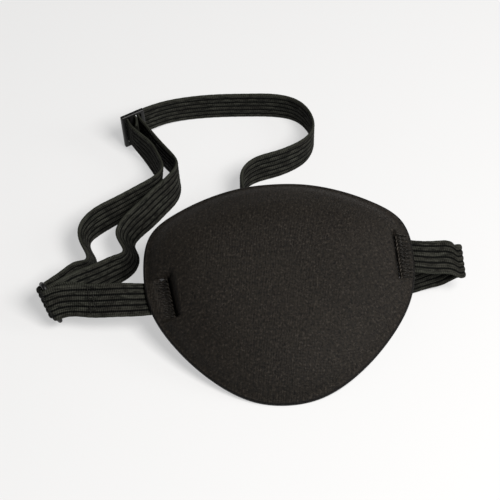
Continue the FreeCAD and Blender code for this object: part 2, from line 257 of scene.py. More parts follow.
def cover_finish():
    """Fine brushed warp knit with a dry, even sheen. Its coordinates lie in the cloth."""
    finish = Finish("cover knit", Sheen_Weight=0.015, Sheen_Roughness=0.4,
                    Sheen_Tint=colour(1.0, 0.90, 0.82), Specular_IOR_Level=0.13)
    cloth = finish.place("cloth")
    x, y, shaded = finish.split(cloth)
    wander = finish.noise(cloth, 0.35, detail=1.0) - 0.5
    wales = ((x + wander * 0.5) * (2 * math.pi / 0.46)).sine()
    courses = ((y + wander * 0.4) * (2 * math.pi / 0.38)).sine()
    fibres = finish.noise(finish.join(x, y * 0.6, 0.0), 3.2, detail=3.0, roughness=0.65)
    grain = finish.noise(cloth, 1.3, detail=4.0, roughness=0.62)
    mottle = finish.noise(cloth, 0.55, detail=2.0, roughness=0.5)
    shade = finish.noise(cloth, 0.05, detail=2.0)
    glints = finish.noise(finish.join(x, y, 7.0), 1.4, detail=3.0, roughness=0.7).ramp(0.54, 0.66)
    tone = (grain.ramp(0.36, 0.62) * 0.60 + fibres.ramp(0.3, 0.7) * 0.15 + mottle.ramp(0.3, 0.7) * 0.15
            + shade.ramp(0.35, 0.65) * 0.10)
    base = finish.mix(tone, colour(0.0010, 0.0008, 0.0006), colour(0.0150, 0.0123, 0.0093))
    base = finish.mix(glints * 0.60, base, colour(0.036, 0.030, 0.024))
    base = finish.mix(shaded.ramp(0.2, 0.9) * 0.85, base, colour(0.0010, 0.0009, 0.0008))
    finish.set(Base_Color=base, Roughness=0.50 + grain * 0.22)
    finish.relief(wales * 0.25 + courses * 0.25 + fibres * 0.7 + grain * 1.4, 0.12)
    return finish.material


def lining_finish():
    """Softer brushed knit against the face."""
    finish = Finish("lining knit", Roughness=0.8, Sheen_Weight=0.08, Sheen_Roughness=0.5,
                    Sheen_Tint=colour(0.95, 0.95, 1.0), Specular_IOR_Level=0.12)
    cloth = finish.place("cloth")
    _, y, edge = finish.split(cloth)
    rows = (y * (2 * math.pi / 0.7)).sine()
    pile = finish.noise(cloth, 2.2, detail=4.0, roughness=0.7)
    patches = finish.noise(cloth, 0.12, detail=2.0)
    base = finish.mix(pile.ramp(0.3, 0.7) * 0.7 + patches * 0.3,
                      colour(0.008, 0.008, 0.0085), colour(0.024, 0.024, 0.026))
    # painted shade: darker along the rim's edge and along each tab's slot line, read from the cloth
    # attribute's third value
    base = finish.mix(edge.ramp(0.3, 0.9) * 0.5, base, colour(0.009, 0.009, 0.009))
    finish.set(Base_Color=base, Roughness=0.75 + pile * 0.2)
    finish.relief(rows * 0.3 + pile * 1.4, 0.12)
    return finish.material


def foam_finish():
    """Open-cell foam, seen only where the edge is cut."""
    finish = Finish("moulded foam", Roughness=0.95, Specular_IOR_Level=0.15)
    cloth = finish.place("cloth")
    cells = finish.node("ShaderNodeTexVoronoi", Vector=cloth, Scale=2.6)
    base = finish.mix(cells.ramp(0.0, 0.6), colour(0.020, 0.020, 0.021), colour(0.060, 0.060, 0.062))
    finish.set(Base_Color=base)
    finish.relief(cells, 0.25)
    return finish.material


def elastic_finish():
    """Ribbed elastic. Its coordinates are across and along the strap, and the height of the rib."""
    finish = Finish("ribbed elastic", Specular_IOR_Level=0.07)
    strap = finish.place("strap")
    across, along, rib = finish.split(strap)
    lean = finish.noise(finish.join(across * 0.6, along * 0.25, 0.0), 1.0, detail=1.0) - 0.5
    picks = ((along + across * 0.25 + lean * 0.6) * (2 * math.pi / 0.62)).sine()
    strand = finish.noise(finish.join(across * 3.0, along * 0.55, 0.0), 1.0, detail=3.0, roughness=0.6)
    dashes = finish.noise(finish.join(across * 0.8, along * 0.28, 9.0), 1.0, detail=1.0)
    yarn = finish.noise(finish.join(across * 4.0, along * 2.6, 1.0), 1.0, detail=2.0, roughness=0.6)
    highlight_dimming = finish.noise(finish.join(across * 0.25, along * 0.10, 4.0), 1.0, detail=2.0)
    # painted highlight and painted shade: the colour runs from near black in the rib grooves (painted shade)
    # to grey on the crests (painted highlight), broken into streaks and dashes along the ridges
    ridge = rib.ramp(0.32, 0.85) * (1 - rib.ramp(0.94, 1.0) * 0.45)
    light = (ridge * (0.16 + strand.ramp(0.40, 0.60) * 0.42 + dashes.ramp(0.42, 0.58) * 0.42)
             * (0.84 + picks * 0.16))
    base = finish.mix(light, colour(0.0004, 0.0005, 0.0004), colour(0.0390, 0.0398, 0.0320))
    # painted highlight: both selvedges are lightened towards a pale olive grey
    base = finish.mix(abs(across).ramp(4.45, 4.85) * 0.45, base, colour(0.042, 0.044, 0.034))
    # random patches where the ridges' painted highlight is dimmed towards dark brown
    base = finish.mix(ridge * highlight_dimming.ramp(0.40, 0.62) * 0.30, base, colour(0.012, 0.010, 0.0085))
    finish.set(Base_Color=base, Roughness=0.60 + yarn * 0.3)
    finish.relief(picks * 0.45 + yarn * 0.9 + strand * 0.6, 0.13)
    return finish.material


def thread_finish():
    """Spun polyester thread. Its coordinates run round it and along it, and give its lightness: a painted
    highlight on the row of beads along the slot, and a small random tone on the other stitches.
    """
    finish = Finish("sewing thread", Roughness=0.5, Specular_IOR_Level=0.15)
    thread = finish.place("thread")
    around, along, light = finish.split(thread)
    plies = (around * 2.0 + along * 5.5).sine()
    fluff = finish.noise(thread, 2.5, detail=2.0)
    base = finish.mix(plies * 0.3 + fluff * 0.7, colour(0.002, 0.0018, 0.0015), colour(0.010, 0.009, 0.0075))
    # painted highlight: the lightness value pulls the thread's colour towards a pale beige
    base = finish.mix(light, base, colour(0.050, 0.044, 0.037))
    finish.set(Base_Color=base)
    finish.relief(plies, 0.05)
    return finish.material


def ring_finish():
    """Black coated wire, rubbed a little in random spots."""
    finish = Finish("coated wire", Specular_IOR_Level=0.3)
    place = finish.node("ShaderNodeTexCoord", output="Object")
    rub = finish.noise(place, 700.0, detail=3.0)
    base = finish.mix(rub.ramp(0.50, 0.75) * 0.6, colour(0.003, 0.003, 0.003), colour(0.016, 0.016, 0.015))
    finish.set(Base_Color=base, Roughness=0.36 + rub * 0.25)
    finish.relief(rub, 0.015)
    return finish.material


def slider_finish():
    """Glossy black moulding with faint flow marks and fine pits."""
    finish = Finish("moulded slider", Specular_IOR_Level=0.3)
    place = finish.node("ShaderNodeTexCoord", output="Object")
    flow = finish.noise(place, 420.0, detail=2.0)
    pits = finish.noise(place, 2600.0, detail=2.0)
    base = finish.mix(flow * 0.6, colour(0.003, 0.003, 0.003), colour(0.009, 0.009, 0.0085))
    finish.set(Base_Color=base, Roughness=0.34 + flow * 0.2)
    finish.relief(pits + flow, 0.012)
    return finish.material


# --- Meshes ---------------------------------------------------------------------------------
def piece(name, points, faces, material, coordinates=None, crease_deg=70.0):
    """A mesh from points of the layout. coordinates is (attribute's name, a vector per point)."""
    mesh = bpy.data.meshes.new(name)
    mesh.from_pydata(((np.asarray(points) + MOVED) * MM).tolist(), [], faces)
    if coordinates is not None:
        attribute = mesh.attributes.new(coordinates[0], "FLOAT_VECTOR", "POINT")
        attribute.data.foreach_set("vector", np.asarray(coordinates[1], np.float32).ravel())
    mesh.validate()
    work = bmesh.new()
    work.from_mesh(mesh)
    bmesh.ops.recalc_face_normals(work, faces=work.faces)
    work.to_mesh(mesh)
    work.free()
    mesh.shade_smooth()
    mesh.set_sharp_from_angle(angle=math.radians(crease_deg))
    mesh.materials.append(material)
    obj = bpy.data.objects.new(name, mesh)
    bpy.context.scene.collection.objects.link(obj)
    return obj


def tube_faces(rows, around, first=0, closed=False):
    """Faces of a tube of rows of points, with flat ends unless its rows close on themselves."""
    faces = []
    for i in range(rows if closed else rows - 1):
        low = first + i * around
        high = first + ((i + 1) % rows) * around
        for j in range(around):
            k = (j + 1) % around
            faces.append((low + j, low + k, high + k, high + j))
    if not closed:
        faces.append(tuple(first + j for j in range(around)))
        faces.append(tuple(first + (rows - 1) * around + j for j in reversed(range(around))))
    return faces


def threads(name, lines, radius, material, light=None, around=8):
    """Round threads along lines of points, as one piece. light is each thread's lightness."""
    points, coordinates, faces = [], [], []
    for line, lightness in zip(lines, light or [0.0] * len(lines)):
        line = np.asarray(line, float)
        ahead = np.gradient(line, axis=0)
        ahead /= np.linalg.norm(ahead, axis=1)[:, None]
        side = unit(np.cross(ahead[0], vec(0.31, 0.22, 0.93)))
        first = len(points)
        run = 0.0
        for i, middle in enumerate(line):
            side = unit(side - ahead[i] * ahead[i].dot(side))
            other = np.cross(ahead[i], side)
            run += np.linalg.norm(middle - line[i - 1]) if i else 0.0
            for j in range(around):
                angle = 2 * math.pi * j / around
                points.append(middle + (side * math.cos(angle) + other * math.sin(angle)) * radius)
                coordinates.append((angle, run, lightness))
        faces += tube_faces(len(line), around, first)
    return piece(name, points, faces, material, ("thread", coordinates))


# --- Patch ----------------------------------------------------------------------------------
PATCH_ORIGIN = vec(11.1, -58.5)
tilt = math.radians(TILT_DEG)
PATCH_Z = vec(0, -math.sin(tilt), math.cos(tilt))
PATCH_X = turned(vec(1, 0), PATCH_Z, ROLL_DEG)
PATCH_Y = turned(vec(0, math.cos(tilt), math.sin(tilt)), PATCH_Z, ROLL_DEG)
PATCH_CENTRE_Y = 0.54 * PATCH_HEIGHT

HALF_OUTLINE = [(0.0, 0.0), (0.235, 0.021), (0.53, 0.121), (0.80, 0.285), (0.965, 0.46), (1.0, 0.64),
                (0.93, 0.80), (0.74, 0.888), (0.48, 0.955), (0.22, 0.992), (0.0, 1.0)]
# The dome's height as a share of its rise, by the share of the way from the centre to the rim.
DOME = [(0.0, 1.0), (0.18, 0.992), (0.37, 0.955), (0.55, 0.85), (0.71, 0.66), (0.83, 0.43), (0.92, 0.20),
        (0.975, 0.02), (1.0, 0.0)]

# A tab: its slot line's middle and length, the way out from it and the way its strap leaves
# (degrees), how far the strap sits above the slot's middle, and the stitching's reach.
LEFT_TAB = {"x": -31.8, "y": 33.9, "length": 13.0, "turn": 189.0, "strap": 184.0, "rise": 1.6, "tack": 3.6}
RIGHT_TAB = {"x": 34.9, "y": 42.8, "length": 14.5, "turn": 3.0, "strap": -8.0, "rise": 1.5, "tack": 4.2}


def on_patch(x, y, z=0.0):
    x, y, z = (np.asarray(v, float)[..., None] for v in (x, y, z))
    return PATCH_ORIGIN + PATCH_X * x + PATCH_Y * y + PATCH_Z * z


def rim_radius():
    """The outline's distance from its centre, by the direction from there."""
    loop = [(x * PATCH_WIDTH / 2, y * PATCH_HEIGHT - PATCH_CENTRE_Y) for x, y in HALF_OUTLINE]
    loop += [(-x, y) for x, y in reversed(loop[1:-1])]
    wrap = 4
    points = np.array(loop[-wrap:] + loop + loop[:wrap + 1])
    stops = np.concatenate([[0], np.cumsum(np.linalg.norm(np.diff(points, axis=0), axis=1))])
    fine = through(points, stops, np.linspace(stops[wrap], stops[-wrap - 1], 1440, endpoint=False))
    angles = np.arctan2(fine[:, 1], fine[:, 0])
    order = np.argsort(angles)
    return angles[order], np.hypot(fine[:, 0], fine[:, 1])[order]


RIM_ANGLES, RIM_RADII = rim_radius()


def rim_at(angle):
    return np.interp(angle, RIM_ANGLES, RIM_RADII, period=2 * math.pi)


def tab_ways(tab, way="turn"):
    turn = math.radians(tab[way])
    way = np.array([math.cos(turn), math.sin(turn)])
    along = np.array([-way[1], way[0]])
    return way, along if along[1] > 0 else -along


def in_tab(tab, x, y):
    """Places measured from the middle of a tab's slot: outwards and along the slot."""
    way, along = tab_ways(tab)
    dx, dy = x - tab["x"], y - tab["y"]
    return dx * way[0] + dy * way[1], dx * along[0] + dy * along[1]


def surface(x, y):
    """Height of the cover's face above the rim plane."""
    x, y = np.asarray(x, float), np.asarray(y, float)
    away = np.hypot(x, y - PATCH_CENTRE_Y)
    rim = rim_at(np.arctan2(y - PATCH_CENTRE_Y, x))
    share = np.clip(away / rim, 0, 1)
    stops, levels = (np.array(v) for v in zip(*DOME))
    mirrored = np.concatenate([-stops[:0:-1], stops]), np.concatenate([levels[:0:-1], levels])
    rise = through(mirrored[1][:, None], mirrored[0], share.ravel())[:, 0].reshape(share.shape)
    height = RIM_HEIGHT + np.clip(rise, 0, None) * (DOME_HEIGHT - RIM_HEIGHT)
    inset = np.clip(rim - away, 0, None)
    for tab in (LEFT_TAB, RIGHT_TAB):
        out, along = in_tab(tab, x, y)
        half = tab["length"] / 2
        level = RIM_HEIGHT + (FLANGE - RIM_HEIGHT) * smooth(0.2, 3.0, inset)
        puff = PUFF * np.cos(along * 2 * math.pi / TACK_PITCH) * smooth(tab["tack"] + 1.2, 0.6, out)
        ribs = RIB_PRINT * np.cos(along * 2 * math.pi * RIBS / STRAP_WIDTH) * smooth(0.6, 2.0, out)
        slot = -SLOT_DEPTH * np.exp(-((out + SLOT_AT) / SLOT_WIDTH) ** 2)
        pressed = np.minimum(level + (puff + ribs) * smooth(0.2, 1.0, inset) + slot, height)
        ends = smooth(-half - 0.6, -half + 0.5, along) * smooth(half + 0.6, half - 0.5, along)
        height = height + (pressed - height) * smooth(-TAB_WALL, 0.1, out) * ends
    edge = np.clip(1 - inset / RIM_ROUND, 0, 1)
    return height - (RIM_HEIGHT * 0.55) * (1 - np.sqrt(1 - edge ** 2))


def underside(top, share):
    """Height of the lining's face, where the laminate stands off the rim plane."""
    thick = LAMINATE * (1 + RIM_SWELL * smooth(0.45, 0.95, share))
    gap = top - thick
    closing = CAVITY_LEAST * np.exp(np.clip(gap, -9, CAVITY_LEAST) - CAVITY_LEAST) * smooth(-6, 0.5, gap)
    return np.where(gap > CAVITY_LEAST, gap, closing)


def cup(name, upper, lower, material, rings, spokes):
    """One layer of the cup, between two shares of the laminate's depth."""
    angles = np.linspace(-math.pi, math.pi, spokes, endpoint=False)
    shares = np.sin(np.linspace(0, math.pi / 2, rings + 1)[1:]) ** 0.9
    rim = rim_at(angles)
    x = shares[:, None] * rim * np.cos(angles)
    y = shares[:, None] * rim * np.sin(angles) + PATCH_CENTRE_Y
    top = surface(x, y)
    bottom = underside(top, shares[:, None] * np.ones_like(x))
    heights = [top + (bottom - top) * depth for depth in (upper, lower)]
    crown_top = float(surface(0.0, PATCH_CENTRE_Y))
    crown_low = float(underside(np.array(crown_top), np.array(0.0)))
    points = [on_patch(x, y, z).reshape(-1, 3) for z in heights]
    crowns = [on_patch(0.0, PATCH_CENTRE_Y, crown_top + (crown_low - crown_top) * depth)
              for depth in (upper, lower)]
    count = rings * spokes
    all_points = np.concatenate([*points, crowns])
    faces = []
    for side in (0, 1):
        base = side * count
        crown = 2 * count + side
        for i in range(rings):
            for j in range(spokes):
                k = (j + 1) % spokes
                if i == 0:
                    faces.append((crown, base + j, base + k))
                else:
                    low = base + (i - 1) * spokes
                    faces.append((low + j, low + spokes + j, low + spokes + k, low + k))
    edge = (rings - 1) * spokes
    for j in range(spokes):
        k = (j + 1) % spokes
        faces.append((edge + j, edge + k, count + edge + k, count + edge + j))
    shaded = smooth(0.975, 0.995, shares)[:, None] * np.ones_like(x)
    for tab in (LEFT_TAB, RIGHT_TAB):
        out, along = in_tab(tab, x, y)
        half = tab["length"] / 2
        line = np.exp(-((out + SLOT_AT) / SLOT_WIDTH) ** 2) * smooth(half + 0.4, half - 0.4, np.abs(along))
        shaded = np.maximum(shaded, line)
    cloth = np.stack([x.ravel(), y.ravel(), shaded.ravel()], 1)
    low_cloth = cloth + [50.0, 50.0, 0.0]
    crown_cloth = [[0, PATCH_CENTRE_Y, 0], [50.0, PATCH_CENTRE_Y + 50.0, 0]]
    coordinates = np.concatenate([cloth, low_cloth, crown_cloth])
    return piece(name, all_points, faces, material, ("cloth", coordinates))


def bar_tack(name, tab, material, passes, bead_pitch):
    """Zigzag stitching through the pressed tab: each stitch rises over the cloth and dips in.
    A pass is its inner and outer edge, its shift along the slot in stitches, and its lift.
    A row of short stitches lies along the slot."""
    way, along = tab_ways(tab)
    chance = np.random.default_rng(7)
    half = tab["length"] / 2 - 0.3
    lines, light = [], []

    def stitch(start, end, lift, dip, lightness):
        t = np.linspace(0, 1, 9)
        out = start[0] + (end[0] - start[0]) * t
        side = start[1] + (end[1] - start[1]) * t
        x = tab["x"] + way[0] * out + along[0] * side
        y = tab["y"] + way[1] * out + along[1] * side
        sunk = dip * np.abs(2 * t - 1) ** 4
        lines.append(on_patch(x, y, surface(x, y) + THREAD_R * 0.7 + lift - sunk))
        light.append(lightness)

    for inner, outer, shift, lift in passes:
        for i in range(2 * int(2 * half / TACK_PITCH)):
            low = -half + (i * 0.5 + shift) * TACK_PITCH
            near, far = (outer, inner) if i % 2 else (inner, outer)
            a, b, c, d = chance.uniform(-0.18, 0.18, 4)
            stitch((near + a, low + b), (far + c, low + TACK_PITCH / 2 + d), lift, 0.42,
                   chance.uniform(0, 0.25))
    # The row along the slot gets a high lightness, a painted highlight on its beads; the zigzag stitches
    # above get a small random lightness.
    for low in np.arange(-half, half - bead_pitch * 0.5, bead_pitch):
        a, b = chance.uniform(-0.12, 0.12, 2)
        stitch((0.30 + a, low + b), (0.60 - a, low + bead_pitch * 0.6 + b), 0.20, 0.55,
               chance.uniform(0.5, 1.0))
    return threads(name, lines, THREAD_R, material, light)


# --- Ring and slider ------------------------------------------------------------------------
RING_ACROSS = unit((-0.40, 0.50, 0.766))
RING_PULL = unit((0.865, 0.474, 0.1423))
RING_FACE = unit(np.cross(RING_PULL, RING_ACROSS))
FRONT_BAR = vec(-58.2, -28.1, 8.9)
REAR_BAR = FRONT_BAR - RING_FACE * RING_SPACING
LOOP_CENTRE = REAR_BAR + unit(RING_PULL - RING_FACE) * (LOOP_R - TURN_R)

SLIDER_ACROSS = unit((-1.0, 0.8, 13.8))
SLIDER_LINE = unit((0.87, 0.49, 0.0346))
SLIDER_FACE = unit(np.cross(SLIDER_LINE, SLIDER_ACROSS))
MID_BAR = vec(-37.5, 44.9, 6.9)
OUTER_BAR = MID_BAR + SLIDER_LINE * SLIDER_PITCH


def wire_ring(material):
    """A rounded rectangle of wire that both straps run round."""
    reach = (RING_SPACING / 2, (STRAP_WIDTH + 2 * RING_EDGE_GAP + 2 * WIRE_R) / 2)
    middle = (FRONT_BAR + REAR_BAR) / 2
    line = []
    for k in range(4):
        out = (RING_FACE, RING_ACROSS, -RING_FACE, -RING_ACROSS)[k]
        ahead = (RING_ACROSS, -RING_FACE, -RING_ACROSS, RING_FACE)[k]
        foot = middle + out * reach[k % 2]
        run = reach[(k + 1) % 2] - RING_CORNER_R
        line += [foot + ahead * run * t for t in np.linspace(-1, 1, 9)]
        pivot = middle + out * (reach[k % 2] - RING_CORNER_R) + ahead * run
        line += [pivot + (out * math.cos(a) + ahead * math.sin(a)) * RING_CORNER_R
                 for a in np.linspace(0, math.pi / 2, 10)[1:-1]]
    line = np.array(line)
    ahead = np.roll(line, -1, 0) - np.roll(line, 1, 0)
    normal = unit(np.cross(RING_FACE, RING_ACROSS))
    around = 20
    points = []
    for middle_point, along in zip(line, ahead):
        side = unit(np.cross(along, normal))
        for j in range(around):
            a = 2 * math.pi * j / around
            points.append(middle_point + (side * math.cos(a) + normal * math.sin(a)) * WIRE_R)
    return piece("ring", points, tube_faces(len(line), around, closed=True), material)


def moulded_slider(material):
    """Three bars between two end rails, with every edge rounded."""
    bar = 2 * WIRE_R
    height = STRAP_WIDTH + 2 * EDGE_GAP
    bars = (-SLIDER_BACK_PITCH, 0, SLIDER_PITCH)
    xs = np.array([bar_at + side for bar_at in bars for side in (-WIRE_R, WIRE_R)])
    zs = np.cumsum([0, SLIDER_END, height, SLIDER_END]) - (height + 2 * SLIDER_END) / 2
    work = bmesh.new()
    grid = [[work.verts.new((x, -bar / 2, z)) for z in zs] for x in xs]
    cells = []
    for i in range(len(xs) - 1):
        for j in range(len(zs) - 1):
            if j == 1 and i in (1, 3):
                continue
            cells.append(work.faces.new((grid[i][j], grid[i + 1][j], grid[i + 1][j + 1], grid[i][j + 1])))
    made = bmesh.ops.extrude_face_region(work, geom=cells)["geom"]
    for v in made:
        if isinstance(v, bmesh.types.BMVert):
            v.co.y += bar
    bmesh.ops.recalc_face_normals(work, faces=work.faces)
    sharp = [e for e in work.edges if len(e.link_faces) == 2 and e.calc_face_angle(0) > 1.0]
    bmesh.ops.bevel(work, geom=sharp, offset=SLIDER_EDGE, segments=4, profile=0.5, affect="EDGES",
                    clamp_overlap=True)
    points = [MID_BAR + SLIDER_LINE * v.co.x - SLIDER_FACE * v.co.y + SLIDER_ACROSS * v.co.z
              for v in work.verts]
    faces = [tuple(v.index for v in f.verts) for f in work.faces]
    work.free()
    return piece("slider", points, faces, material, crease_deg=40.0)


# --- Strap routes ---------------------------------------------------------------------------
# A station is where the strap's lower edge stands and how far its upper edge overhangs it.
SHORT_RUN = [(-37.6, -32.8, 8.2, 0.0, 8.2), (-46.5, -32.0, 6.8, -1.4, 7.4)]
RIGHT_FRONT = [(55.6, -18.5, 10.5, 0.0, 8.3), (60.9, -17.6, 8.7, -0.8, 7.1)]
FOLD_AT = vec(62.2, -13.3, 10.6)
FOLD_ACROSS = unit((-1.5, 6.75, 7.25))
FOLD_R = 1.2
FOLD_OUT = unit((0.05, -0.73, 0.68))
SEWN_LEAD = 4.6
LAP_GAP = 0.08
UNDER_PATCH = [(58.4, -15.6, 2.3, 0.0, 5.6), (54.5, -15.8, 1.0, 0.0, 3.2), (49.0, -17.0, 0.0, 0.0, 2.2),
               (42.0, -18.8, 0.0, 0.0, 1.5), (34.0, -19.8, 0.0, 0.3, 1.2), (26.0, -18.6, 0.0, 0.8, 1.2),
               (18.0, -14.2, 0.0, 1.0, 1.0), (10.5, -7.2, 0.0, 1.0, 0.8), (4.0, 1.4, 0.0, 0.8, 0.3),
               (-0.4, 10.5, 0.0, 0.4, 0.0)]
FAR_TURN = [(-2.4, 18.2, 0.0, 0.0, 0.0), (-2.2, 23.8, 0.0, 0.0, 0.8), (1.6, 27.6, 0.0, 0.0, 1.8),
            (7.6, 30.0, 0.0, 0.0, 2.1), (13.4, 33.0, 0.0, 0.0, 2.0), (18.0, 37.4, 0.0, 0.0, 1.2),
            (20.0, 43.4, 0.0, 0.0, 0.0), (18.9, 49.6, 0.0, 0.0, 0.0), (14.9, 54.6, 0.0, 0.0, 0.0),
            (8.6, 56.6, 0.0, 0.0, 0.3)]
TOP_RUN = [(0.0, 56.9, 0.0, 0.0, 0.3), (-10.0, 56.6, 0.0, 0.0, 0.3), (-20.0, 55.3, 0.2, 0.0, 0.2),
           (-27.0, 52.9, 0.8, -0.2, 0.2)]
OUTER_UPPER = [(OUTER_BAR[0] + 1.2, OUTER_BAR[1] - 4.6, 1.6, -0.4, 0.5),
               (-29.4, 37.2, 0.7, 0.0, 0.3), (-25.4, 32.2, 0.1, 0.0, 0.2),
               (-22.4, 27.0, 0.0, -0.6, 0.5), (-22.3, 21.4, 0.0, -2.6, 1.8), (-26.0, 14.6, 0.0, -4.0, 3.0)]
OUTER_LOWER = [(-30.4, 8.6, 0.0, -4.3, 2.8), (-34.2, 4.0, 0.0, -5.0, 1.0), (-35.4, 1.0, 0.0, -5.3, -1.2),
               (-34.5, -1.8, 0.0, -4.9, -2.3), (-33.9, -4.9, 0.0, -4.3, -2.2),
               (-35.0, -8.8, 0.0, -3.8, -0.2), (-38.4, -12.6, 0.0, -3.0, 2.4),
               (-43.6, -16.6, 0.2, -2.8, 3.6), (REAR_BAR[0] + 10.03, REAR_BAR[1] + 3.46, 1.6, -3.4, 4.6)]
INNER_LOWER = [(-55.0, -19.4, 0.1, -2.0, 2.4), (-51.0, -13.6, 0.0, -1.2, 0.6), (-47.6, -9.4, 0.0, -1.6, -2.4),
               (-46.9, -5.6, 0.0, -2.2, -3.6), (-48.4, -1.6, 0.0, -2.8, -2.8),
               (-49.2, 2.2, 0.0, -2.7, -0.8), (-47.4, 5.0, 0.0, -2.0, 1.6), (-41.0, 10.4, 0.0, -1.4, 2.0)]
INNER_UPPER = [(-33.0, 17.4, 0.0, -0.6, 1.2), (-29.4, 21.4, 0.0, 0.0, 0.6), (-28.2, 25.6, 0.0, 0.8, 0.0),
               (-29.8, 30.2, 0.1, 1.1, 0.5), (-32.8, 35.4, 0.6, 1.2, 0.6)]


def standing(stations):
    """(middle, direction across) of the strap at each station."""
    sections = []
    for x, y, z, dx, dy in stations:
        lean = math.hypot(dx, dy) / STRAP_WIDTH
        across = vec(dx / STRAP_WIDTH, dy / STRAP_WIDTH, math.sqrt(1 - lean ** 2))
        sections.append((vec(x, y, z + lean * STRAP_THICK / 2) + across * STRAP_WIDTH / 2, across))
    return sections


def bent(centre, across, start, sweep, radius, steps=TURN_STEPS):
    return [(centre + turned(start, across, sweep * i / steps) * radius, across) for i in range(steps + 1)]


def behind_tab(tab, places):
    way, along = tab_ways(tab, "strap")
    across = PATCH_X * along[0] + PATCH_Y * along[1]
    x, y = tab["x"] + along[0] * tab["rise"], tab["y"] + along[1] * tab["rise"]
    return [(on_patch(x + way[0] * p, y + way[1] * p, -STRAP_GAP - STRAP_THICK / 2), across) for p in places]


def sewn_end_route():
    away = unit(SLIDER_FACE - SLIDER_LINE * 0.05)
    side = unit(np.cross(away, SLIDER_ACROSS))
    turn = bent(MID_BAR, SLIDER_ACROSS, side, -180, TURN_R)
    lead = turn[0][0] + away * SEWN_LEAD
    end = lead - side * (STRAP_THICK + LAP_GAP)
    return [(lead, SLIDER_ACROSS)] + turn + [(end, SLIDER_ACROSS)]


def short_route():
    run = standing(SHORT_RUN)
    turn = bent(FRONT_BAR, RING_ACROSS, RING_FACE, -180, TURN_R)
    ease = (turn[-1][0] + RING_PULL * 2.5, RING_ACROSS)
    ahead = unit(turn[0][0] - run[0][0])
    middle, across = run[-1]
    face = unit(np.cross(ahead, across))
    lapped = (middle + face * (STRAP_THICK + LAP_GAP), across)
    return behind_tab(LEFT_TAB, TAB_LEAD) + run + turn + [ease, lapped]


def long_route():
    """The whole long strap, and where each of its pieces starts and ends in it."""
    stretches = [
        ("front", behind_tab(RIGHT_TAB, TAB_LEAD) + standing(RIGHT_FRONT)
         + bent(FOLD_AT, FOLD_ACROSS, FOLD_OUT, 180, FOLD_R) + standing(UNDER_PATCH) + standing(FAR_TURN)),
        ("outer", standing(TOP_RUN)
         + bent(OUTER_BAR, SLIDER_ACROSS, unit(SLIDER_FACE * -0.99 + SLIDER_LINE * 0.11), 90, TURN_R, 4)
         + standing(OUTER_UPPER)),
        ("ring", standing(OUTER_LOWER) + bent(LOOP_CENTRE, RING_ACROSS, RING_FACE, -155, LOOP_R)
         + standing(INNER_LOWER)),
        ("sewn", standing(INNER_UPPER) + sewn_end_route()),
    ]
    route, ends = [], [0]
    for _, stretch in stretches:
        route += stretch
        ends.append(len(route) - 1)
    return route, ends


def route_lines(route):
    """The middles of the route's sections, their directions across and the run to each."""
    middles = np.array([m for m, _ in route])
    acrosses = np.array([a for _, a in route])
    stops = np.concatenate([[0], np.cumsum(np.linalg.norm(np.diff(middles, axis=0), axis=1))])
    return middles, acrosses, stops


def strap_profile():
    """The elastic's cross-section: shares across, and half thickness, with the ribs on both faces."""
    steps = RIBS * 10
    across = -np.cos(np.linspace(0, math.pi, steps + 1)) * 0.35 + np.linspace(-1, 1, steps + 1) * 0.65
    rib = np.abs(np.sin(math.pi * RIBS * (across + 1) / 2)) ** 0.85
    edge = np.clip((np.abs(across) * STRAP_WIDTH / 2 - (STRAP_WIDTH / 2 - SELVEDGE)) / SELVEDGE, 0, 1)
    half = STRAP_THICK / 2 * ((1 - RIB_DEPTH) + RIB_DEPTH * np.maximum(rib, smooth(0.3, 0.9, edge)))
    return across, half * np.sqrt(np.clip(1 - edge ** 2, 0.02, 1)), rib


def strap_piece(name, route, first, last, material):
    """The strap between two sections of its route, and its length."""
    middles, acrosses, stops = route_lines(route)
    start, end = stops[first], stops[last]
    at = np.linspace(start, end, int((end - start) / STRAP_STEP) + 2)
    at = np.unique(np.concatenate([at, stops[first:last + 1]]))
    middle = through(middles, stops, at)
    across = through(acrosses, stops, at)
    across /= np.linalg.norm(across, axis=1)[:, None]
    reach = 0.02
    after, before = np.minimum(at + reach, stops[-1]), np.maximum(at - reach, 0)
    ahead = through(middles, stops, after) - through(middles, stops, before)
    face = np.cross(ahead, across)
    face /= np.linalg.norm(face, axis=1)[:, None]
    share, half, rib = strap_profile()
    loop_across = np.concatenate([share, share[::-1]]) * STRAP_WIDTH / 2
    loop_up = np.concatenate([half, -half[::-1]])
    loop_rib = np.concatenate([rib, rib[::-1]])
    wobble = 0.05 * np.sin(at * 1.7) + 0.04 * np.sin(at * 0.61 + 1.0)
    widths = 1 + 0.004 * np.sin(at * 2.3 + 0.5)
    pulse = 1 + 0.05 * np.sin(at[:, None] * 2 * math.pi / 0.95 + loop_across[None, :] * 1.3)
    points = (middle[:, None, :]
              + across[:, None, :] * (loop_across[None, :] * widths[:, None])[..., None]
              + face[:, None, :] * (loop_up[None, :] * pulse)[..., None])
    rows, around = len(at), len(loop_up)
    coordinates = np.stack([np.broadcast_to(loop_across, (rows, around)) + wobble[:, None],
                            np.broadcast_to(at[:, None], (rows, around)),
                            np.broadcast_to(loop_rib, (rows, around))], -1)
    obj = piece(name, points.reshape(-1, 3), tube_faces(rows, around), material,
                ("strap", coordinates.reshape(-1, 3)))
    return obj, float(end - start)


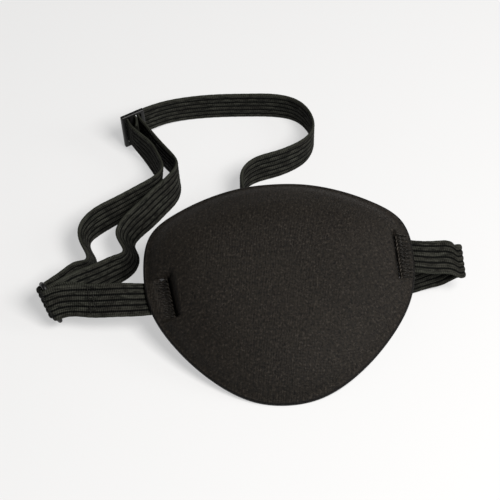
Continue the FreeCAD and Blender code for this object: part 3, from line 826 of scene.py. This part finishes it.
def seam_stitches(name, middle, across, face, material):
    """Running stitches across a strap, half sunk between its ribs."""
    lines = []
    for row in SEAM_ROWS:
        for i in range(SEAM_STITCHES):
            start = (i - SEAM_STITCHES / 2) * SEAM_PITCH * 1.05 + 0.2 + row * 0.3
            t = np.linspace(0, 1, 7)
            rise = 0.14 - 0.4 * np.abs(2 * t - 1) ** 3
            ahead = unit(np.cross(across, face))
            lines.append([middle + across * (start + SEAM_PITCH * 0.8 * s)
                          + face * (STRAP_THICK / 2 - 0.08 + r) + ahead * row for s, r in zip(t, rise)])
    return threads(name, lines, THREAD_R * 0.85, material)


# --- Camera, light and floor ----------------------------------------------------------------
CAMERA_LENS = 140.7
CAMERA_AWAY = (0.0, -0.3857, 0.4596)    # metres, from the layout's origin
FLOOR_SIDE = 3.0                        # metres, from the middle to an edge
WORLD_STRENGTH = 0.10


def point(p):
    return Vector((np.asarray(p, float) + MOVED) * MM)


def aim(obj, target):
    obj.rotation_euler = (Vector(target) - obj.location).to_track_quat("-Z", "Y").to_euler()


def camera():
    data = bpy.data.cameras.new("camera")
    data.lens = CAMERA_LENS
    data.sensor_width = 36.0
    data.clip_start = 0.01
    obj = bpy.data.objects.new("camera", data)
    bpy.context.scene.collection.objects.link(obj)
    target = point((0.0, 0.0, 0.0))
    obj.location = target + Vector(CAMERA_AWAY)
    aim(obj, target)
    bpy.context.scene.camera = obj


def softbox(name, place, size, watts, target, tint=(1.0, 1.0, 1.0)):
    data = bpy.data.lights.new(name, "AREA")
    data.shape = "RECTANGLE"
    data.size, data.size_y = size
    data.energy = watts
    data.color = tint
    obj = bpy.data.objects.new(name, data)
    bpy.context.scene.collection.objects.link(obj)
    obj.location = place
    aim(obj, target)


def studio():
    scene = bpy.context.scene
    world = bpy.data.worlds.new("studio")
    world.use_nodes = True
    sky = world.node_tree.nodes["Background"]
    sky.inputs["Color"].default_value = colour(1.0, 1.0, 1.0)
    sky.inputs["Strength"].default_value = WORLD_STRENGTH
    scene.world = world
    scene.view_settings.view_transform = "Standard"
    middle = (0.0, 0.0, 0.01)
    softbox("overhead key", (0.32, -0.28, 0.62), (0.35, 0.35), 8.6, middle, (1.0, 0.98, 0.96))
    softbox("right edge", (0.55, -0.05, 0.32), (0.25, 0.25), 1.0, middle)
    mesh = bpy.data.meshes.new("floor")
    corners = [(x * FLOOR_SIDE, y * FLOOR_SIDE, 0) for x, y in ((-1, -1), (1, -1), (1, 1), (-1, 1))]
    mesh.from_pydata(corners, [], [(0, 1, 2, 3)])
    floor = bpy.data.objects.new("floor", mesh)
    scene.collection.objects.link(floor)
    paper = Finish("floor paper", Roughness=0.9, Base_Color=colour(0.30, 0.30, 0.30), Specular_IOR_Level=0.1,
                   Emission_Color=colour(1.0, 1.0, 1.0), Emission_Strength=0.50)
    mesh.materials.append(paper.material)


def build_patch():
    thread = thread_finish()
    cover = cup("outer_cover_piece", 0.0, COVER_SHARE, cover_finish(), 110, 400)
    foam = cup("foam_core_piece", COVER_SHARE + 0.01, 1 - LINING_SHARE - 0.01, foam_finish(), 60, 200)
    lining = cup("eye_side_lining_piece", 1 - LINING_SHARE, 1.0, lining_finish(), 80, 280)
    left = bar_tack("left_tab_thread", LEFT_TAB, thread, ((0.6, 2.0, 0.3, 0.04), (0.7, 3.9, 0.5, 0.0)), 1.3)
    right = bar_tack("right_tab_thread", RIGHT_TAB, thread,
                     ((0.7, 4.4, 0.0, 0.0), (0.6, 2.2, 0.25, 0.06)), 1.15)
    for obj, node, slot in ((cover, "outer_cover", "cover_fabric"), (foam, "foam_core", "foam"),
                            (lining, "eye_side_lining", "lining_fabric"),
                            (left, "left_tab_stitching", "thread"), (right, "right_tab_stitching", "thread")):
        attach(obj, "root")
        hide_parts(node)
    return thread


def build_straps(thread):
    elastic = elastic_finish()
    route, ends = long_route()
    pieces = {}
    names = ("long_strap_front", "long_strap_outer", "long_strap_ring_loop", "long_strap_end")
    for name, first, last in zip(names, ends, ends[1:]):
        pieces[name] = strap_piece(name, route, first, last, elastic)
    short_sections = short_route()
    short, short_length = strap_piece("short_strap_piece", short_sections, 0, len(short_sections) - 1,
                                      elastic)

    sewn = sewn_end_route()
    side = unit(np.cross(SLIDER_FACE, SLIDER_ACROSS))
    end_thread = seam_stitches("sewn_end_thread", sewn[0][0] + (sewn[1][0] - sewn[0][0]) * 0.25,
                               SLIDER_ACROSS, side, thread)
    seam_at = len(TAB_LEAD) + len(SHORT_RUN) - 1
    middle, across = short_sections[seam_at]
    ahead = unit(short_sections[seam_at + 1][0] - short_sections[seam_at - 1][0])
    short_thread = seam_stitches("short_strap_thread", middle, across, -unit(np.cross(ahead, across)), thread)

    front, front_length = pieces["long_strap_front"]
    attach(front, "root")
    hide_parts("long_strap_tab_end", "long_strap_under_patch", "long_strap_far_turn")

    outer, outer_length = pieces["long_strap_outer"]
    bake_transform(outer)
    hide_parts("long_strap_top_run", "long_strap_slider_bend", "long_strap_outer_upper")

    ring_loop, ring_length = pieces["long_strap_ring_loop"]
    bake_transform(ring_loop)
    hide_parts("long_strap_outer_lower", "long_strap_ring_turn", "long_strap_inner_lower")

    end, end_length = pieces["long_strap_end"]
    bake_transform(end)
    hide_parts("long_strap_inner_upper", "long_strap_sewn_end")
    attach(end_thread, "slider_body")
    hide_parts("sewn_end_stitching")

    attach(short, "root")
    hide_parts("short_strap")
    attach(short_thread, "root")
    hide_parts("short_strap_stitching")


def build_hardware():
    ring = wire_ring(ring_finish())
    ring.name = "wire_ring"
    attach(ring, "ring_body")
    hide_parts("ring")
    slider = moulded_slider(slider_finish())
    slider.name = "moulded_slider"
    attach(slider, "slider_body")
    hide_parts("slider")


camera()
studio()
build_hardware()
build_straps(build_patch())
